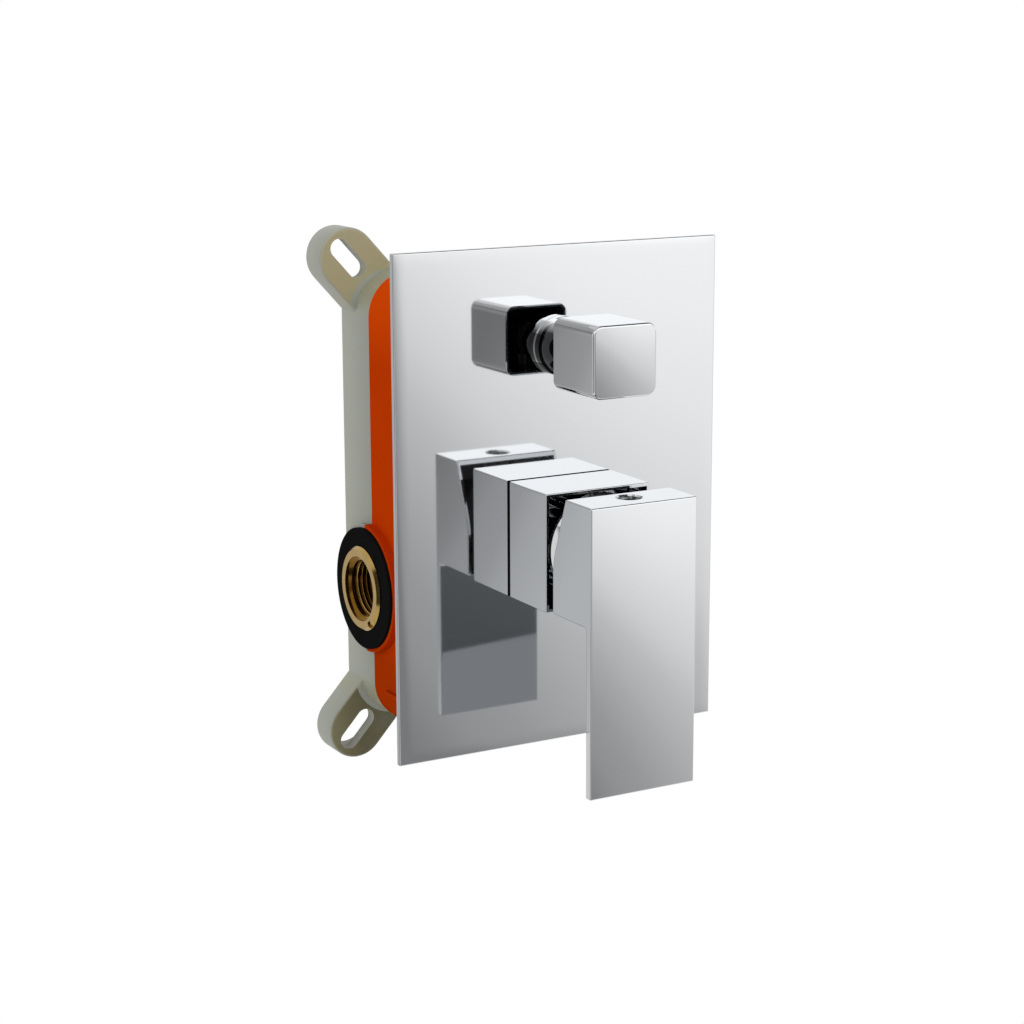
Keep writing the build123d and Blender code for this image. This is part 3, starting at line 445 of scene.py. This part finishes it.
# Which finish each piece wears
wearers = {
    "whiteNylon": ["rear_box"],
    "orangePlastic": ["front_housing"],
    "blackRubber": [
        "left_inlet_seal", "right_inlet_seal", "top_outlet_seal", "bottom_outlet_seal", "base_seals",
        "sleeve_gasket", "sleeve_o_ring", "plate_gasket", "diverter_base_seal",
    ],
    "cartridgeNylon": ["cartridge_housing", "cartridge_base", "stem_carrier", "disc_slide"],
    "whiteCeramic": ["fixed_disc", "moving_disc", "diverter_fixed_disc", "diverter_moving_disc"],
    "turnedBrass": [
        "valve_body", "left_inlet_bush", "right_inlet_bush", "top_outlet_bush", "bottom_outlet_bush",
        "cartridge_lock_nut", "diverter_housing", "diverter_nut", "diverter_spindle",
    ],
    "screwSteel": ["housing_screws", "body_screws", "pivot_pin", "mixing_stem"],
    "blackSteel": ["lever_set_screw", "knob_set_screw"],
    "chrome": ["dome_cap"],
    "plateChrome": ["face_plate"],
    "neckChrome": ["diverter_neck"],
    "sleeveChrome": ["handle_sleeve"],
    "knobChrome": ["diverter_knob"],
    "leverChrome": ["lever_handle"],
}
for finish, names in wearers.items():
    for name in names:
        for slot in nodes[name].material_slots:
            slot.material = finishes[finish]
print("finishes:", sum(len(names) for names in wearers.values()), "pieces dressed")


# Pipe threads of the four ports: one ridge wound down each bore
portThread = {
    "slices": 44,  # to a turn
    "turns": 6.4,
    "pitch": 0.001814,
    "ridge": 0.0008,
    "sink": 0.0003,  # of the centre of the ridge, inside the bore
    "setBack": 0.0003,  # from the inner end of the bore
}


def threadTree():
    tree = bpy.data.node_groups.new("port thread", "GeometryNodeTree")
    face = tree.interface
    face.new_socket("Mouths", in_out="INPUT", socket_type="NodeSocketGeometry")
    for name in ("Radius", "Turns", "Length", "Ridge"):
        face.new_socket(name, in_out="INPUT", socket_type="NodeSocketFloat")
    face.new_socket("Slices", in_out="INPUT", socket_type="NodeSocketInt")
    face.new_socket("Finish", in_out="INPUT", socket_type="NodeSocketMaterial")
    face.new_socket("Thread", in_out="OUTPUT", socket_type="NodeSocketGeometry")
    wire = Wire(tree)
    given = wire.add("NodeGroupInput", out="Mouths")
    radius = given.beside("Radius")
    helix = wire.add("GeometryNodeCurveSpiral", sockets={
        "Resolution": given.beside("Slices"),
        "Rotations": given.beside("Turns"),
        "Start Radius": radius,
        "End Radius": radius,
        "Height": given.beside("Length"),
    })
    upright = wire.add("GeometryNodeSetCurveNormal", {"mode": "Z_UP"}, {"Curve": helix})
    tooth = wire.add("GeometryNodeCurvePrimitiveCircle", sockets={
        "Resolution": 3, "Radius": given.beside("Ridge"),
    })
    ridge = wire.add("GeometryNodeCurveToMesh", sockets={
        "Curve": upright, "Profile Curve": tooth, "Fill Caps": True,
    })
    outward = wire.add("GeometryNodeInputNamedAttribute", {"data_type": "FLOAT_VECTOR"}, {"Name": "outward"})
    turn = wire.add("FunctionNodeAlignRotationToVector", {"axis": "Z"}, {"Vector": outward})
    placed = wire.add("GeometryNodeInstanceOnPoints", sockets={
        "Points": given, "Instance": ridge, "Rotation": turn,
    })
    real = wire.add("GeometryNodeRealizeInstances", sockets={"Geometry": placed})
    dressed = wire.add("GeometryNodeSetMaterial", sockets={
        "Geometry": real, "Material": given.beside("Finish"),
    })
    wire.add("NodeGroupOutput", sockets={"Thread": dressed})
    return tree


def grown(name, seed, tree, values):
    # Grows the tree on a seed mesh and keeps the result as a plain mesh
    made = bpy.data.objects.new(name, seed)
    bpy.context.scene.collection.objects.link(made)
    growth = made.modifiers.new("growth", "NODES")
    growth.node_group = tree
    for item in tree.interface.items_tree:
        if item.item_type == "SOCKET" and item.in_out == "INPUT" and item.name in values:
            growth[item.identifier] = values[item.name]
    ready = made.evaluated_get(bpy.context.evaluated_depsgraph_get())
    mesh = bpy.data.meshes.new_from_object(ready)
    made.modifiers.clear()
    made.data = mesh
    return made


def cutThreads():
    size = portThread
    bores = [mount for mount in frame["record"]["mounts"] if mount["kind"] == "threaded_hole"]
    radius, length = (bores[0]["dims"][key] / 1000 for key in ("r_mm", "length_mm"))
    axes = [Vector(bore["axis"]) for bore in bores]
    inwards = length / 2 - size["setBack"]
    starts = [Vector(bore["pos_m"]) - axis * inwards for bore, axis in zip(bores, axes)]
    mouths = bpy.data.meshes.new("port mouths")
    mouths.from_pydata(starts, [], [])
    outward = mouths.attributes.new("outward", "FLOAT_VECTOR", "POINT")
    outward.data.foreach_set("vector", [part for axis in axes for part in axis])
    threads = grown("port_threads", mouths, threadTree(), {
        "Radius": radius - size["sink"],
        "Turns": size["turns"],
        "Length": size["turns"] * size["pitch"],
        "Ridge": size["ridge"],
        "Slices": size["slices"],
        "Finish": finishes["turnedBrass"],
    })
    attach(threads, "root")
    print("port threads:", len(threads.data.polygons), "faces in", len(bores), "ports")


cutThreads()


# Studio: a pale floor, soft lamps and big cards that the chrome mirrors
def flatSheet(name, width, depth, level=0.0):
    corners = ((-0.5, -0.5), (0.5, -0.5), (0.5, 0.5), (-0.5, 0.5))
    sheet = bpy.data.meshes.new(name)
    sheet.from_pydata([(width * x, depth * y, level) for x, y in corners], [], [(0, 1, 2, 3)])
    made = bpy.data.objects.new(name, sheet)
    bpy.context.scene.collection.objects.link(made)
    return made


def turnedTo(towards):
    # Right, up and back of what looks at the object from an azimuth and a height, in degrees
    azimuth, height = (math.radians(angle) for angle in towards)
    back = Vector((
        math.sin(azimuth) * math.cos(height), -math.cos(azimuth) * math.cos(height), math.sin(height),
    ))
    right = Vector((math.cos(azimuth), math.sin(azimuth), 0))
    return right, back.cross(right), back


def placeAt(spot, right, up, back):
    return Matrix.Translation(spot) @ Matrix((right, up, back)).transposed().to_4x4()


def paintCard(name, card):
    # The light runs along a slanted line of the card, from stop to stop
    made, wire, place = startFinish(name)
    across = place.parts()
    height = across.beside("Y")
    low, high = card["span"]
    along = height + across * (height * card["twist"] + across * card["bow"] + card["slant"])
    share = along * (1 / (high - low)) + (-low / (high - low))
    stops = [((spot - low) / (high - low), light / card["level"]) for spot, light in card["light"]]
    ramp = wire.add("ShaderNodeValToRGB", {"stops": stops}, {"Fac": share})
    glow = wire.add("ShaderNodeEmission", sockets={"Color": ramp, "Strength": card["level"]})
    wire.add("ShaderNodeOutputMaterial", sockets={"Surface": glow})
    return made


def hangCard(name, card):
    # A sheet square to a direction from the middle of the plate, unseen by the camera
    right, up, back = turnedTo(card["towards"])
    sheet = flatSheet(name, *card["size"])
    sheet.matrix_world = placeAt(plateMiddle + back * card["distance"], right, up, back)
    sheet.data.materials.append(paintCard(name + "Paint", card))
    sheet.visible_camera = False
    sheet.visible_diffuse = False
    sheet.visible_shadow = False


plainCard = {"slant": 0.0, "twist": 0.0, "bow": 0.0, "level": 1.0, "span": (-0.4, 0.4)}
# The light of a card goes by metres along it. In front of the plate it is dim low down and bright above
frontCard = {
    "towards": (30, -12),
    "distance": 0.9,
    "size": (1.3, 1.9),
    "slant": 0.95,
    "twist": -2.25,
    "bow": -2.5,
    "level": 2.0,
    "span": (-0.4, 0.5),
    "light": [
        (-0.4, 0.28), (-0.346, 0.325), (-0.277, 0.415), (-0.21, 0.46), (-0.141, 0.56), (-0.048, 0.735),
        (0.01, 0.92), (0.051, 1.005), (0.088, 1.085), (0.123, 1.165), (0.175, 1.255), (0.226, 1.315),
        (0.31, 1.7), (0.5, 1.7),
    ],
}
# For the left sides of the sleeve, the lever and the knob, and for their mirror images in the plate
sideCard = {
    "towards": (-29, -14),
    "distance": 1.2,
    "size": (0.7, 1.7),
    "slant": 2.0,
    "twist": 3.5,
    "light": [
        (-0.3, 0.94), (-0.18, 0.955), (-0.14, 0.92), (-0.1, 0.84), (-0.06, 0.79), (-0.03, 0.725),
        (-0.01, 0.62), (0.055, 0.585), (0.08, 0.5), (0.1, 0.455), (0.14, 0.43), (0.2, 0.35), (0.24, 0.32),
        (0.3, 0.32),
    ],
}
backCard = {
    "towards": (180, -16),
    "distance": 0.75,
    "size": (3.2, 0.8),
    "light": [(-0.4, 0.8), (0.4, 0.9)],
}
# Dark flags beside, above and under the view draw thin dark lines on the round edges
darkness = {"span": (-1.0, 1.0), "light": [(-1.0, 0.07), (1.0, 0.07)]}
sideFlag = {**darkness, "towards": (-78, 0), "distance": 1.0, "size": (0.8, 1.2)}
upperFlag = {**darkness, "towards": (65, 60), "distance": 1.0, "size": (0.9, 0.8)}
lowerFlag = {**darkness, "towards": (-28, -50), "distance": 0.6, "size": (0.55, 0.3)}
cards = {
    "frontCard": frontCard, "sideCard": sideCard, "backCard": backCard,
    "sideFlag": sideFlag, "upperFlag": upperFlag, "lowerFlag": lowerFlag,
}
for name, card in cards.items():
    hangCard(name, {**plainCard, **card})

stage = {"floorDrop": 0.65, "floorSize": 6.0, "floorTone": (0.8, 0.8, 0.79, 1), "roomLight": 0.55}


def seenOrMirrored(wire):
    path = wire.add("ShaderNodeLightPath", out="Is Camera Ray")
    seen = path + path.beside("Is Glossy Ray") + path.beside("Is Transmission Ray")
    return wire.combine("MINIMUM", seen, 1.0)


def layFloor():
    floor = flatSheet("floor", stage["floorSize"], stage["floorSize"], -stage["floorDrop"])
    made, wire = startFinish("paleFloor")[:2]
    matt = wire.add("ShaderNodeBsdfDiffuse", sockets={"Color": stage["floorTone"]})
    white = wire.add("ShaderNodeEmission", sockets={"Color": (1, 1, 1, 1), "Strength": 1.0})
    shown = wire.add("ShaderNodeMixShader", sockets={0: seenOrMirrored(wire), 1: matt, 2: white})
    wire.add("ShaderNodeOutputMaterial", sockets={"Surface": shown})
    floor.data.materials.append(made)


def lightRoom():
    world = bpy.data.worlds.new("studio")
    world.use_nodes = True
    world.node_tree.nodes.clear()
    wire = Wire(world.node_tree)
    strength = seenOrMirrored(wire) * (1 - stage["roomLight"]) + stage["roomLight"]
    room = wire.add("ShaderNodeBackground", sockets={"Color": (1, 1, 1, 1), "Strength": strength})
    wire.add("ShaderNodeOutputWorld", sockets={"Surface": room})
    bpy.context.scene.world = world


lampAim = Vector((0, -0.05, 0))
lamps = {
    "keyLamp": {"at": (0.9, -1.1, 1.1), "size": 1.2, "power": 12.0},
    "fillLamp": {"at": (-1.3, -0.8, 0.5), "size": 1.0, "power": 7.0},
}


def hangLamps():
    for name, lamp in lamps.items():
        light = bpy.data.lights.new(name, "AREA")
        light.energy = lamp["power"]
        light.size = lamp["size"]
        made = bpy.data.objects.new(name, light)
        made.location = lamp["at"]
        made.rotation_euler = (Vector(lamp["at"]) - lampAim).to_track_quat("Z", "Y").to_euler()
        made.visible_camera = False
        made.visible_glossy = False
        bpy.context.scene.collection.objects.link(made)


layFloor()
lightRoom()
hangLamps()
print("studio: floor, room,", len(cards), "cards and flags,", len(lamps), "lamps")


# Camera, from the left, a little above the middle of the plate
viewpoint = {
    "towards": (-28.94, 12.42),
    "roll": -0.24,
    "distance": 0.80142,
    "aim": (-0.0196, -0.063, 0.0007),
    "lens": 79.9,
    "sensor": 36.0,
}


def setCamera():
    right, up, back = turnedTo(viewpoint["towards"])
    roll = math.radians(viewpoint["roll"])
    leanRight = right * math.cos(roll) + up * math.sin(roll)
    leanUp = up * math.cos(roll) - right * math.sin(roll)
    lens = bpy.data.cameras.new("camera")
    lens.lens = viewpoint["lens"]
    lens.sensor_width = viewpoint["sensor"]
    camera = bpy.data.objects.new("camera", lens)
    spot = Vector(viewpoint["aim"]) + back * viewpoint["distance"]
    camera.matrix_world = placeAt(spot, leanRight, leanUp, back)
    bpy.context.scene.collection.objects.link(camera)
    bpy.context.scene.camera = camera


setCamera()
bpy.context.scene.view_settings.view_transform = "Standard"
print("camera:", viewpoint["towards"])
